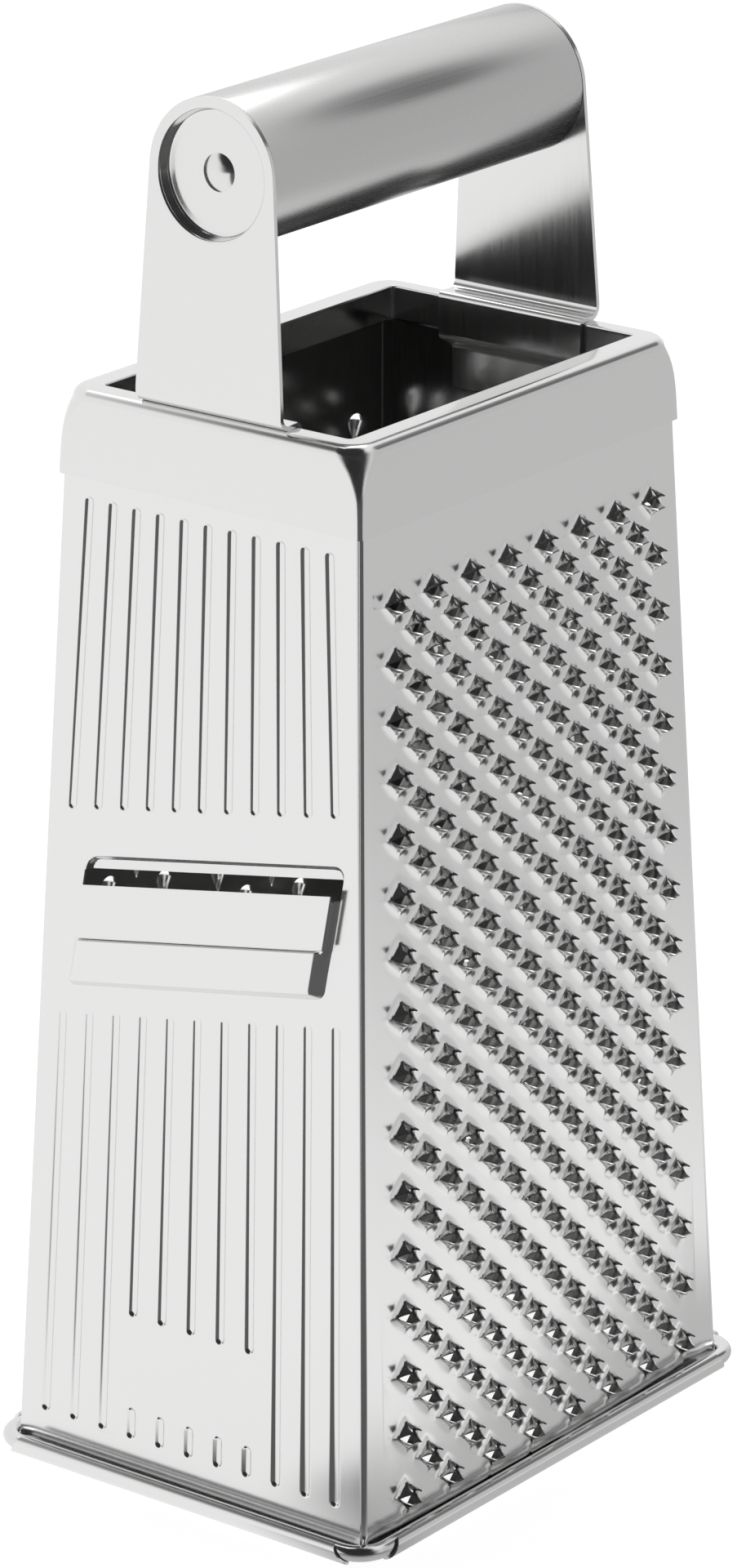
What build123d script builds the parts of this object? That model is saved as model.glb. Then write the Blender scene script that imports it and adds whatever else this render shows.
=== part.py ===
from build123d import *
from math import atan, atan2, cos, degrees, hypot, radians, sin, sqrt, tan
import os

os.makedirs("parts", exist_ok=True)

# Sheet and overrun
sheet = 0.5                   # body and collar sheet
overrun = 5.0                 # how far a cut runs past what it cuts

# Tapered body, outer faces of its four walls
foot_length = 106.5           # along X, at the floor
foot_width = 77.9             # along Y, at the floor
top_length = 89.3             # along X, at the walls' top edges
top_width = 63.4              # along Y, at the walls' top edges
wall_top = 188.0
wall_foot = 0.7               # the walls' corners stop this far above the floor
bend_radius = 0.9             # outer radius of the wide walls' corner bends
seam_gap = 0.05               # between a corner flange and the narrow wall outside it
corner_flange = 2.6           # how far the wide walls turn in behind the narrow ones
edge_setback = 0.6            # narrow walls stop this far short of the corner

# Foot wire and the hem rolled round it
wire_radius = 1.45
wire_corner_radius = 5.3
wire_offset = 2.3             # wire's centre line outside the wall's face at the floor
hem_gap = 0.05                # between the wire and the hem
hem_bend_radius = 1.0         # inside radius of the bend under the wall
hem_wrap = 150                # degrees of hem round the wire, from straight below it
hem_join = 1.9                # height at which the hem takes over from the wall
hem_end_narrow = 2.6          # from the body's corner to the hem's end, narrow walls
hem_end_wide = 4.2            # the same on the wide walls

# Rasp wall: bowed out by the punching, with crowns of four points round square holes
rasp_bow = 2.4                # how far the wall's middle stands out
rasp_bow_middle = 87.0        # height of the middle of the bow
rasp_bow_half_length = 46.0
rasp_bow_half_height = 83.0
rasp_bow_root = 0.05          # how far the bow's edge runs into the flat sheet round it
rasp_columns = 8
rasp_rows = 16
rasp_top_row = 167.5
rasp_row_pitch = 10.03        # between the two highest rows
rasp_row_growth = 0.086       # each row below is this much further apart
rasp_span_top = 0.803         # outer columns, share of the wall's half length at the top row
rasp_span_foot = 0.777        # the same at the lowest row
rasp_hole = 2.65              # side of the square hole
rasp_swell_foot = 5.6         # side of the swell round the hole, at the sheet
rasp_swell_top = 3.8
rasp_swell_height = 0.8
rasp_swell_root = 0.1         # how far the swell's foot lies within the sheet
rasp_point_height = 2.45      # points above the swell
rasp_point_root = 3.2
rasp_point_thickness = 0.3
rasp_point_gap = 0.05         # from the hole's edge to a point's root

# Shredder walls: hooded teeth, open at their upper ends
coarse_columns = 11
coarse_rows = 16
coarse_top_row = 170.0
coarse_row_pitch = 9.9
coarse_stagger = 3            # columns before the pattern repeats, each one lower than the last
coarse_span_share = 0.80
coarse_hood_radius = 2.55
coarse_hood_length = 5.2
coarse_mouth = 1.8            # how far the hole runs on above the hood
fine_columns = 10
fine_rows = 22
fine_top_row = 170.0
fine_row_pitch = 7.2
fine_stagger = 2
fine_span_share = 0.80
fine_hood_radius = 1.5
fine_hood_length = 3.0
fine_mouth = 1.1
hood_tip = 0.4                # half width left at a hood's pointed end

# Slicer wall: pressed ribs above and below a slanted slicing slot
rib_count = 11
rib_width = 1.6
rib_depth = 0.45              # how far a rib is pressed into the body
rib_wall = 0.45               # sheet left each side of a rib and behind it
upper_rib_top = 177.4
upper_rib_low = 126.4         # on the wall's middle line
upper_rib_half_span_top = 25.8
upper_rib_half_span_low = 28.5
lower_rib_top = 89.9          # on the wall's middle line
lower_rib_low = 8.3
lower_rib_half_span_top = 29.9
lower_rib_half_span_low = 32.5
middle_ribs = 5               # ribs cut short above the bare place
middle_rib_low = 31.3
short_rib_top = 14.1
slot_rise_share = 0.183       # rise of the slot along its length
slot_lean_share = 0.155       # lean of the window's ends
window_centre_across = 1.1
window_centre_height = 106.4
window_half_length = 28.1
window_half_height = 12.35
lip_drop = 2.7                # height of the recess above the slot
lip_depth = 1.2               # how far the recess is pressed into the body
lip_step = 0.6                # slope of its walls
lip_corner = 2.5
bridge_top_drop = 6.4         # from the window's top to the bridge's upper edge
bridge_height = 1.8           # how far the bridge stands out
bridge_inset = 1.5            # slope of its walls
bridge_corner = 1.2
blade_top_drop = 4.8          # from the window's top to the cutting edge
blade_height = 10.1
blade_thickness = 0.6
blade_bevel = 2.2
blade_land = 0.08             # thickness left at the cutting edge
blade_inset_left = 1.6
blade_inset_right = 0.5

# Collar: a drawn cap over the walls' top edges
collar_top = 195.7
collar_height = 15.3
collar_clearance = 0.15       # between the skirt and the walls
collar_round = 2.0            # outer edge of the rim, in section
collar_corner_low = 1.2       # corner radius at the skirt's lower edge
collar_corner_high = 5.4      # corner radius at the rim
collar_corner_power = 4       # how late the corner opens out
collar_skirt_steps = 6
collar_round_steps = 4
opening_half_length = 40.25
opening_half_width = 26.45
opening_corner = 0.9
opening_edge = 0.35           # bent edge round the opening
lip_height = 6.0

# Handle: two brackets, a tube and a tie rod
bracket_sheet = 0.8
bracket_lean = 2.0            # degrees, leaning in like the walls
bracket_foot = 45.1           # outer face from the middle, at the rim's height
bracket_foot_width = 31.0
bracket_gap = 0.1             # over the rim and inside the lip
bracket_bend = 1.5            # inside radius of the bend above the rim
bracket_edge_bend = 0.4       # inside radius over the opening's edge
bracket_jog_bend = 1.0
bracket_leg = 3.0             # straight plate starts this far above the rim
flange_depth = 7.3
jog_drop = 2.3
tab_depth = 8.0
tab_gap = 0.05                # between the tab and the wall it is welded to
handle_height = 236.95        # tube's axis
tube_radius = 13.05
tube_wall = 0.8
tube_gap = 0.05               # between the tube's ends and the brackets
dish_radius = 10.6
dish_depth = 2.2
dish_slope = 0.5
dish_wall = 0.6
rod_radius = 3.0
rod_neck_radius = 1.95
rod_neck_gap = 0.1
rod_head_radius = 3.3
rod_head_height = 1.0
rod_gap = 0.05                # between the rod's shoulders and the dishes

# Values that follow from the sizes above
hem_radius = wire_radius + hem_gap + sheet
wire_height = hem_radius
lean_narrow = atan((foot_length - top_length) / 2 / wall_top)
lean_wide = atan((foot_width - top_width) / 2 / wall_top)
bow_across_radius = (rasp_bow_half_length ** 2 + rasp_bow ** 2) / (2 * rasp_bow)
bow_upward_radius = (rasp_bow_half_height ** 2 + rasp_bow ** 2) / (2 * rasp_bow)


def half_length(z):
    return (foot_length + (top_length - foot_length) * z / wall_top) / 2


def half_width(z):
    return (foot_width + (top_width - foot_width) * z / wall_top) / 2


def narrow_frame(side):
    """Outer face of the wall at -X or +X: X to the right seen from outside, Y up, Z outward."""
    outward = (side * cos(lean_narrow), 0, sin(lean_narrow))
    return Plane(origin=(side * foot_length / 2, 0, 0), x_dir=(0, side, 0), z_dir=outward)


def wide_frame(side):
    """The same for the wall at -Y or +Y."""
    outward = (0, side * cos(lean_wide), sin(lean_wide))
    return Plane(origin=(0, side * foot_width / 2, 0), x_dir=(-side, 0, 0), z_dir=outward)


def hem_strip(outward, reach, lean, half):
    """Sheet that turns out under a wall and rolls round the foot wire."""
    plane = Plane(
        origin=(outward[0] * reach, outward[1] * reach, 0),
        x_dir=(outward[0], outward[1], 0),
        z_dir=(outward[1], -outward[0], 0),
    )
    middle = -sheet / 2 / cos(lean)
    leg_top = hem_join + 2 * sheet
    leg = FilletPolyline(
        (middle - leg_top * tan(lean), leg_top),
        (middle - sheet / 2 * tan(lean), sheet / 2),
        (wire_offset, sheet / 2),
        radius=hem_bend_radius + sheet / 2,
    )
    roll = CenterArc((wire_offset, wire_height), hem_radius - sheet / 2, -90, hem_wrap)
    section = trace(Curve() + [leg, roll], line_width=sheet)
    return extrude(plane * section, amount=half, both=True)


def narrow_sheet():
    """Flat trapezoid of a narrow wall, in its own frame, outer face at zero."""
    scale = 1 / cos(lean_narrow)
    hem_half = half_width(0) - hem_end_narrow
    low = half_width(wall_foot) - edge_setback
    high = half_width(wall_top) - edge_setback
    outline = Polyline(
        (-low, wall_foot * scale),
        (-hem_half, wall_foot * scale),
        (-hem_half, hem_join * scale),
        (hem_half, hem_join * scale),
        (hem_half, wall_foot * scale),
        (low, wall_foot * scale),
        (high, wall_top * scale),
        (-high, wall_top * scale),
        close=True,
    )
    return extrude(make_face(outline), amount=-sheet)


def narrow_hem(side):
    half = half_width(0) - hem_end_narrow
    return hem_strip((side, 0), half_length(0), lean_narrow, half)


def body_sections(inset_length, inset_width, radius):
    sections = []
    for z in (wall_foot, wall_top):
        length = 2 * (half_length(z) - inset_length)
        width = 2 * (half_width(z) - inset_width)
        sections.append(Pos(0, 0, z) * RectangleRounded(length, width, radius))
    return loft(sections, ruled=True)


def wide_sheet(side):
    """A wide wall with its two corner flanges, cut back at the foot for the hem."""
    behind = sheet + seam_gap
    outer = body_sections(behind, 0, bend_radius)
    inner = body_sections(behind + sheet, sheet, bend_radius - sheet)
    reach = 2 * (foot_length + wall_top)
    keep = Pos(0, 0, (overrun - corner_flange) / 2) * Box(reach, reach, overrun + corner_flange)
    hem_length = 2 * (half_length(0) - hem_end_wide)
    foot_cut = Box(hem_length, foot_width / 2 + overrun, 2 * hem_join)
    wall = (outer - inner) & (wide_frame(side) * keep)
    return wall - Pos(0, side * foot_width / 2, 0) * foot_cut


def wide_hem(side):
    half = half_length(0) - hem_end_wide
    return hem_strip((0, side), half_width(0), lean_wide, half)


def rasp_row(row, height, count):
    """One level row of crowns, a column's width apart and centred on the wall."""
    share = rasp_span_top + (rasp_span_foot - rasp_span_top) * row / (rasp_rows - 1)
    step = 2 * share * half_length(height) / (rasp_columns - 1)
    return [((column - (count - 1) / 2) * step, height) for column in range(count)]


def rasp_spots():
    """Staggered grid that widens with the wall; every second column sits half a row lower."""
    pitches = [rasp_row_pitch + rasp_row_growth * row for row in range(rasp_rows - 1)]
    heights = [rasp_top_row - sum(pitches[:row]) for row in range(rasp_rows)]
    spots = []
    for row, height in enumerate(heights):
        spots += rasp_row(row, height, rasp_columns)
        if row < rasp_rows - 1:
            spots += rasp_row(row + 0.5, height - pitches[row] / 2, rasp_columns - 1)
    return [(across, height / cos(lean_wide)) for across, height in spots]


def bow_barrel(depth):
    """Barrel whose surface is that of the bowed wall, this deep behind the outer face."""
    back = rasp_bow - bow_across_radius
    tip = sqrt((bow_upward_radius - depth) ** 2 - rasp_bow_half_height ** 2) - bow_upward_radius
    top, foot = (Vector(0, rasp_bow_middle + hand * rasp_bow_half_height, 0) for hand in (1, -1))
    side = ThreePointArc(
        foot + Vector(0, 0, rasp_bow + tip),
        Vector(0, rasp_bow_middle, rasp_bow - depth),
        top + Vector(0, 0, rasp_bow + tip),
    )
    axis_foot, axis_top = foot + Vector(0, 0, back), top + Vector(0, 0, back)
    section = make_face(Curve() + [Polyline(side @ 1, axis_top, axis_foot, side @ 0), side])
    return revolve(section, Axis(axis_foot, Vector(0, 1, 0)), 360)


def bow_frame(across, up):
    """Plane that touches the bowed wall's outer face, in the wall's own frame."""
    off_middle = up - rasp_bow_middle
    fall = sqrt(bow_upward_radius ** 2 - off_middle ** 2)
    girth = bow_across_radius - bow_upward_radius + fall
    reach = sqrt(girth ** 2 - across ** 2)
    out = rasp_bow - bow_across_radius + reach
    if out <= 0:
        return Plane(origin=(across, up, 0))
    tilt = Vector(across, girth * off_middle / fall, reach)
    return Plane(origin=(across, up, out), x_dir=(reach, 0, -across), z_dir=tilt)


def rasp_tooth():
    """Swell of the sheet round a square hole on its corner, with a pointed flap on each side."""
    turn = Rot(0, 0, 45)
    foot = Pos(0, 0, -rasp_swell_root) * Rectangle(rasp_swell_foot, rasp_swell_foot)
    top = Pos(0, 0, rasp_swell_height) * Rectangle(rasp_swell_top, rasp_swell_top)
    swell = loft([foot, top], ruled=True)
    swell -= Box(rasp_hole, rasp_hole, 2 * rasp_swell_height + overrun)
    flap = make_face(
        Polyline(
            (-rasp_point_root / 2, 0),
            (rasp_point_root / 2, 0),
            (0, rasp_point_height),
            close=True,
        )
    )
    flap = extrude(Plane.XZ * flap, amount=-rasp_point_thickness)
    flap = Pos(0, rasp_hole / 2 + rasp_point_gap, rasp_swell_height) * flap
    flaps = [Rot(0, 0, 90 * quarter) * flap for quarter in range(4)]
    return turn * (swell + flaps)


def make_rasp_panel():
    frame = wide_frame(-1)
    reach = 2 * (foot_length + wall_top)
    wall = wide_sheet(-1) + wide_hem(-1)
    outside = Pos(0, 0, reach / 2 - rasp_bow_root) * Box(reach, reach, reach)
    inside = Pos(0, 0, reach / 2 - sheet) * Box(reach, reach, reach)
    wall += frame * (bow_barrel(0) & outside)
    wall -= frame * (bow_barrel(sheet) & inside)
    places = [bow_frame(across, up) for across, up in rasp_spots()]
    punch = Rot(0, 0, 45) * Box(rasp_hole, rasp_hole, overrun)
    wall -= [frame * (place * punch) for place in places]
    tooth = rasp_tooth()
    return wall.fuse(*[frame * (place * tooth) for place in places])


def hood(radius, length):
    """Half cone of sheet, pointed below and open above, standing on the wall's face."""
    outer = Polyline((0, -length), (hood_tip, -length), (radius, 0), (0, 0), close=True)
    solid = revolve(make_face(outer), Axis.Y, -180)
    bore_radius = radius - sheet
    bore_length = length - 2 * sheet
    inner = Polyline((0, -bore_length), (bore_radius, 0), (0, 0), close=True)
    return solid - revolve(make_face(inner), Axis.Y, -360)


def hood_hole(radius, length, mouth):
    """Hole under a hood: its inner outline and a half ellipse above it."""
    bore_radius = radius - sheet
    bore_length = length - 2 * sheet
    below = Polyline((-bore_radius, 0), (0, -bore_length), (bore_radius, 0))
    above = EllipticalCenterArc((0, 0), bore_radius, mouth, 0, arc_size=180)
    face = make_face(Curve() + [below, above])
    return Pos(0, 0, -overrun / 2) * extrude(face, amount=overrun)


def hood_spots(columns, rows, top_row, pitch, stagger, span_share, half_at, scale):
    """Columns that spread with the wall, each one set lower than the last until they repeat."""
    spots = []
    for column in range(columns):
        share = 2 * column / (columns - 1) - 1
        for row in range(rows):
            height = top_row - pitch * (row + column % stagger / stagger)
            spots.append((share * span_share * half_at(height), height * scale))
    return spots


def make_coarse_panel():
    frame = wide_frame(1)
    spots = hood_spots(
        coarse_columns, coarse_rows, coarse_top_row, coarse_row_pitch,
        coarse_stagger, coarse_span_share, half_length, 1 / cos(lean_wide),
    )
    wall = wide_sheet(1) + wide_hem(1)
    punch = hood_hole(coarse_hood_radius, coarse_hood_length, coarse_mouth)
    wall -= [frame * Pos(across, up, 0) * punch for across, up in spots]
    tooth = hood(coarse_hood_radius, coarse_hood_length)
    return wall.fuse(*[frame * Pos(across, up, 0) * tooth for across, up in spots], glue=True)


def make_fine_panel():
    frame = narrow_frame(1)
    spots = hood_spots(
        fine_columns, fine_rows, fine_top_row, fine_row_pitch,
        fine_stagger, fine_span_share, half_width, 1 / cos(lean_narrow),
    )
    wall = frame * narrow_sheet() + narrow_hem(1)
    punch = hood_hole(fine_hood_radius, fine_hood_length, fine_mouth)
    wall -= [frame * Pos(across, up, 0) * punch for across, up in spots]
    tooth = hood(fine_hood_radius, fine_hood_length)
    return wall.fuse(*[frame * Pos(across, up, 0) * tooth for across, up in spots], glue=True)


def window_point(across, up):
    """A point of the slanted window: shares of its half length along, millimetres up."""
    x = window_centre_across + across * window_half_length + slot_lean_share * up
    y = window_centre_height + up + slot_rise_share * across * window_half_length
    return (x, y)


def window_patch(low, high, inset_left=0, inset_right=0):
    """Face between two heights of the window, its ends drawn in by the insets."""
    left = -1 + inset_left / window_half_length
    right = 1 - inset_right / window_half_length
    corners = [window_point(left, low), window_point(right, low)]
    corners += [window_point(right, high), window_point(left, high)]
    return make_face(Polyline(*corners, close=True))


def rib_spots():
    """Both ends of each rib's middle line."""
    spots = []
    for number in range(rib_count):
        share = 2 * number / (rib_count - 1) - 1
        from_middle = abs(number - (rib_count - 1) / 2)
        cut_short = from_middle < middle_ribs / 2
        upper_rise = slot_rise_share * share * upper_rib_half_span_low
        lower_rise = slot_rise_share * share * lower_rib_half_span_top
        spots.append((
            (share * upper_rib_half_span_low, upper_rib_low + upper_rise),
            (share * upper_rib_half_span_top, upper_rib_top),
        ))
        lowest = middle_rib_low if cut_short else lower_rib_low
        spots.append((
            (share * lower_rib_half_span_low, lowest),
            (share * lower_rib_half_span_top, lower_rib_top + lower_rise),
        ))
        if cut_short:
            across = share * lower_rib_half_span_low
            spots.append(((across, lower_rib_low), (across, short_rib_top)))
    return spots


def rib(low, high, width, amount):
    """Round-ended bar along a rib's middle line, with its ends on the given points."""
    run = hypot(high[0] - low[0], high[1] - low[1])
    turn = degrees(atan2(high[1] - low[1], high[0] - low[0]))
    shrink = rib_width - width
    place = Pos((low[0] + high[0]) / 2, (low[1] + high[1]) / 2, 0) * Rot(0, 0, turn)
    return place * extrude(SlotOverall(run - shrink, width), amount=amount)


def lip_shapes(low, high):
    """Hollow of the recess above the slot, its upper corners round, and the sheet's back behind it."""
    base = window_patch(low, high)
    corners = sorted(base.vertices(), key=lambda corner: corner.Y - slot_rise_share * corner.X)
    base = fillet(corners[-2:], lip_corner)
    floor = offset(base, -lip_step, kind=Kind.INTERSECTION)
    recess = loft([base, Pos(0, 0, -lip_depth) * floor], ruled=True)
    back_base = offset(base, sheet, kind=Kind.INTERSECTION)
    back_floor = offset(floor, sheet, kind=Kind.INTERSECTION)
    back = loft([back_base, Pos(0, 0, -lip_depth) * back_floor], ruled=True)
    return recess, Pos(0, 0, -sheet / 2) * back


def make_slicer_panel():
    wall = narrow_sheet()
    spots = rib_spots()
    back_width = rib_width + 2 * rib_wall
    back_depth = rib_depth + rib_wall - sheet
    backs = [rib(low, high, back_width, -back_depth) for low, high in spots]
    wall = wall.fuse(*[Pos(0, 0, -sheet) * back for back in backs], glue=True)
    wall -= [rib(low, high, rib_width, -rib_depth) for low, high in spots]
    window_top = window_half_height
    bridge_high = window_top - bridge_top_drop
    bridge_low = -window_half_height
    base = window_patch(bridge_low, bridge_high + overrun)
    crown = offset(base, -bridge_inset, kind=Kind.INTERSECTION)
    bore_base = offset(base, -sheet, kind=Kind.INTERSECTION)
    bore_crown = offset(crown, -sheet, kind=Kind.INTERSECTION)
    outer = loft([base, Pos(0, 0, bridge_height) * crown], ruled=True)
    bore = loft([bore_base, Pos(0, 0, bridge_height - sheet) * bore_crown], ruled=True)
    above = window_patch(bridge_high, window_top + 2 * overrun, -overrun, -overrun)
    outer -= extrude(above, amount=overrun)
    hole = extrude(bore_base, amount=-overrun) + bore
    lip_low = window_top - lip_drop
    slot = extrude(window_patch(bridge_high, lip_low), amount=overrun, both=True)
    recess, back = lip_shapes(bridge_high, window_top)
    beside = window_patch(lip_low, window_top + overrun, -overrun, -overrun)
    back &= extrude(beside, amount=-overrun)
    wall = (wall + outer - hole) + back - recess - slot
    return narrow_frame(-1) * wall + narrow_hem(-1)


def make_slicer_blade():
    high = window_half_height - blade_top_drop
    low = high - blade_height
    face = window_patch(low, high, blade_inset_left, blade_inset_right)
    strip = extrude(face, amount=blade_thickness)
    along = atan(slot_rise_share)
    start = window_point(-1, high)
    bevel_frame = Plane(
        origin=(start[0], start[1], 0),
        x_dir=(-sin(along), cos(along), 0),
        z_dir=(cos(along), sin(along), 0),
    )
    bevel = Polyline((0, 0), (0, blade_thickness - blade_land), (-blade_bevel, 0), close=True)
    run = 2 * (window_half_length + overrun) / cos(along)
    cutter = bevel_frame * Pos(0, 0, -overrun) * extrude(make_face(bevel), amount=run)
    return narrow_frame(-1) * Pos(0, 0, bridge_height) * (strip - cutter)


def make_foot_wire():
    length = foot_length + 2 * wire_offset
    width = foot_width + 2 * wire_offset
    path = Pos(0, 0, wire_height) * RectangleRounded(length, width, wire_corner_radius).wire()
    start = path @ 0
    section = Plane(origin=start, z_dir=path % 0) * Circle(wire_radius)
    return sweep(section, path=path)


def cap_shape(inset, run_below):
    """Outer shape of the collar, or its hollow when inset: the corners open out upwards."""
    low = collar_top - collar_height
    shoulder = collar_top - collar_round
    outset = collar_clearance + sheet - inset
    sections = [(low - run_below, outset, collar_corner_low - inset)]
    for step in range(1, collar_skirt_steps + 1):
        share = step / collar_skirt_steps
        opened = (collar_corner_high - collar_corner_low) * share ** collar_corner_power
        sections.append((low + share * (shoulder - low), outset, collar_corner_low + opened - inset))
    for step in range(1, collar_round_steps + 1):
        angle = radians(90 * step / collar_round_steps)
        drawn = (collar_round - inset) * (1 - cos(angle))
        height = shoulder + (collar_round - inset) * sin(angle)
        sections.append((height, outset - drawn, collar_corner_high - inset - drawn))
    faces = []
    for height, grow, radius in sections:
        length = 2 * (half_length(height) + grow)
        width = 2 * (half_width(height) + grow)
        faces.append(Pos(0, 0, height) * RectangleRounded(length, width, radius))
    return loft(faces, ruled=True)


def make_collar():
    cap = cap_shape(0, 0) - cap_shape(sheet, overrun)
    lip = RectangleRounded(
        2 * (opening_half_length + sheet),
        2 * (opening_half_width + sheet),
        opening_corner + sheet,
    )
    cap += Pos(0, 0, collar_top - lip_height) * extrude(lip, amount=lip_height - sheet / 2)
    opening = RectangleRounded(2 * opening_half_length, 2 * opening_half_width, opening_corner)
    depth = lip_height + overrun
    cap -= Pos(0, 0, collar_top - depth) * extrude(opening, amount=depth + overrun)
    rim = cap.faces().sort_by(Axis.Z)[-1]
    return fillet(rim.inner_wires()[0].edges(), opening_edge)


def bracket_frame(side):
    """Outer face of a bracket's plate, with its origin at the height of the rim."""
    lean = radians(bracket_lean)
    outward = (side * cos(lean), 0, sin(lean))
    return Plane(origin=(side * bracket_foot, 0, collar_top), x_dir=(0, side, 0), z_dir=outward)


def handle_up():
    """Height of the tube's axis measured along the leaning plate."""
    return (handle_height - collar_top) / cos(radians(bracket_lean))


def bracket_strip(side):
    """Bent foot: over the rim, down inside the lip, out under it and down behind the wall."""
    lean = radians(bracket_lean)
    half_sheet = bracket_sheet / 2
    over = bracket_gap + half_sheet
    rise = (over + half_sheet * sin(lean)) / cos(lean)
    face = bracket_foot - half_sheet * cos(lean)
    flange = opening_half_length - bracket_gap - half_sheet
    jog_high = collar_top - flange_depth
    jog_low = jog_high - jog_drop
    tab_low = jog_low - tab_depth
    behind = (sheet + tab_gap + half_sheet) / cos(lean_narrow)
    line = FilletPolyline(
        (face - bracket_leg * sin(lean), collar_top + bracket_leg * cos(lean) - half_sheet * sin(lean)),
        (face - rise * sin(lean), collar_top + over),
        (flange, collar_top + over),
        (flange, jog_high),
        (half_length(jog_low) - behind, jog_low),
        (half_length(tab_low) - behind, tab_low),
        radius=(
            bracket_bend + half_sheet,
            bracket_edge_bend + half_sheet,
            bracket_jog_bend + half_sheet,
            bracket_jog_bend + half_sheet,
        ),
    )
    plane = Plane(origin=(0, 0, 0), x_dir=(side, 0, 0), z_dir=(0, -side, 0))
    section = trace(line, line_width=bracket_sheet)
    return extrude(plane * section, amount=bracket_foot_width / 2, both=True)


def cup(radius, depth):
    """Round shape that narrows by the dish's slope from the plate's face to its floor."""
    line = Polyline((0, -depth), (radius, -depth), (radius + dish_slope, 0), (0, 0), close=True)
    return revolve(make_face(Plane.XZ * line), Axis.Z, 360)


def make_bracket(side):
    """Plate with a round top and a dish in it, carried by its bent foot."""
    round_top = Pos(0, handle_up()) * CenterArc((0, 0), tube_radius, 0, 360)
    base = Line((-bracket_foot_width / 2, bracket_leg), (bracket_foot_width / 2, bracket_leg))
    plate = extrude(make_hull([*round_top.edges(), *base.edges()]), amount=-bracket_sheet)
    centre = Pos(0, handle_up(), 0)
    plate += centre * cup(dish_radius + dish_wall, dish_depth + dish_wall)
    plate -= centre * cup(dish_radius, dish_depth)
    plate -= centre * Cylinder(rod_neck_radius + rod_neck_gap, 2 * (dish_depth + overrun))
    return bracket_frame(side) * plate + bracket_strip(side)


def along_handle(radius):
    """Long round bar on the handle's axis."""
    return Pos(0, 0, handle_height) * Rot(0, 90, 0) * Cylinder(radius, 2 * bracket_foot)


def beyond(side, depth):
    """Everything outside a plane that lies this deep behind a bracket's outer face."""
    reach = 2 * handle_height
    return bracket_frame(side) * Pos(0, 0, reach / 2 - depth) * Box(reach, reach, reach)


def make_handle_tube():
    tube = along_handle(tube_radius) - along_handle(tube_radius - tube_wall)
    depth = bracket_sheet + tube_gap
    return tube - beyond(-1, depth) - beyond(1, depth)


def make_tie_rod():
    """Bar through the tube, necked at its ends and peened over on the dishes' floors."""
    depth = dish_depth + dish_wall + rod_gap
    rod = along_handle(rod_radius) - beyond(-1, depth) - beyond(1, depth)
    tip = dish_depth - rod_head_height / 2
    rod += along_handle(rod_neck_radius) - beyond(-1, tip) - beyond(1, tip)
    ball_radius = (rod_head_radius ** 2 + rod_head_height ** 2) / (2 * rod_head_height)
    ball = Pos(0, 0, rod_head_height - ball_radius) * Sphere(ball_radius)
    head = ball & (Pos(0, 0, ball_radius) * Box(2 * ball_radius, 2 * ball_radius, 2 * ball_radius))
    for side in (-1, 1):
        rod += bracket_frame(side) * Pos(0, handle_up(), -dish_depth) * head
    return rod


nodes = {
    "slicer_panel": make_slicer_panel(),
    "slicer_blade": make_slicer_blade(),
    "rasp_panel": make_rasp_panel(),
    "coarse_panel": make_coarse_panel(),
    "fine_panel": make_fine_panel(),
    "foot_wire": make_foot_wire(),
    "collar": make_collar(),
    "handle_bracket_left": make_bracket(-1),
    "handle_bracket_right": make_bracket(1),
    "handle_tube": make_handle_tube(),
    "tie_rod": make_tie_rod(),
}

for name, shape in nodes.items():
    shape.label = name
    export_step(shape, f"parts/{name}.step")
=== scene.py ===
from collections import Counter
from itertools import product
from math import asin, atan2, cos, hypot, pi, radians, sin, sqrt, tan

import bmesh
import bpy
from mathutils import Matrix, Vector


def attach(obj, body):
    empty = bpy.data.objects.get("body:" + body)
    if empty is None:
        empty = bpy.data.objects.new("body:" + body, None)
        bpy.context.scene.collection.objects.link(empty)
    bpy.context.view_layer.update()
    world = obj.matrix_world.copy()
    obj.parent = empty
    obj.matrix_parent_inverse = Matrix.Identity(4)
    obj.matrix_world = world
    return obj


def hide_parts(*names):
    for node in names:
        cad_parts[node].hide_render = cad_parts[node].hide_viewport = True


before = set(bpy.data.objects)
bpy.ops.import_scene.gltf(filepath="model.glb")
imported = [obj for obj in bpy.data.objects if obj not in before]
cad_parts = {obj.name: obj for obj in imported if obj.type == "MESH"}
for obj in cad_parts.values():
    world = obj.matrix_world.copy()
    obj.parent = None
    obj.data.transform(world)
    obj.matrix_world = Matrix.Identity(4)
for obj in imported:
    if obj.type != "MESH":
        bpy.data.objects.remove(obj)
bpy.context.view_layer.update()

MM = 0.001

# The camera stands at the corner between the slicing wall and the rasping wall, about a metre away
# and a little above the grater, with a long lens.
camera_data = bpy.data.cameras.new("camera")
camera = bpy.data.objects.new("camera", camera_data)
bpy.context.scene.collection.objects.link(camera)
bpy.context.scene.camera = camera
camera_data.lens = 156.45
camera_data.sensor_width = 36
camera_back = Vector((-0.74701, -0.57547, 0.33326)).normalized()
camera_distance = 1.19302
looked_at = Vector((-0.00108, 0, 0.11872))
camera.location = looked_at + camera_distance * camera_back
camera.rotation_euler = camera_back.to_track_quat("Z", "Y").to_euler()
bpy.context.scene.view_settings.view_transform = "Standard"


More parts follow.
